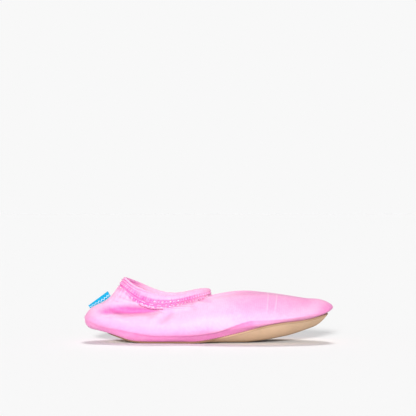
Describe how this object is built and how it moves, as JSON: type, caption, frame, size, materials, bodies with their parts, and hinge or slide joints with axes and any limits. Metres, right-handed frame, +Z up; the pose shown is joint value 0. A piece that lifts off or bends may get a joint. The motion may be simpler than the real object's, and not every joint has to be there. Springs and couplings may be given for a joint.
{
  "type": "pool shoe",
  "caption": "Soft slip-on pool shoe with a stretch satin upper, a stitched elastic collar and a thin cupped sole.",
  "frame": {"origin": "middle of the shoe's length and width, on the floor that the sole stands on", "axes": "+X to the toe, +Y to the side away from the picture's camera, +Z up"},
  "size_m": [0.24, 0.078, 0.0621],
  "materials": {
    "pink_satin": "stretch satin, soft sheen",
    "tan_sole": "matt, finely grained",
    "pink_lining": "knitted cotton lining",
    "aqua_ribbon": "woven ribbon"
  },
  "bodies": {
    "root": {"upper": "pink_satin", "collar_binding": "pink_satin", "outsole": "tan_sole", "insole": "pink_lining", "heel_label": "aqua_ribbon"}
  },
  "joints": []
}
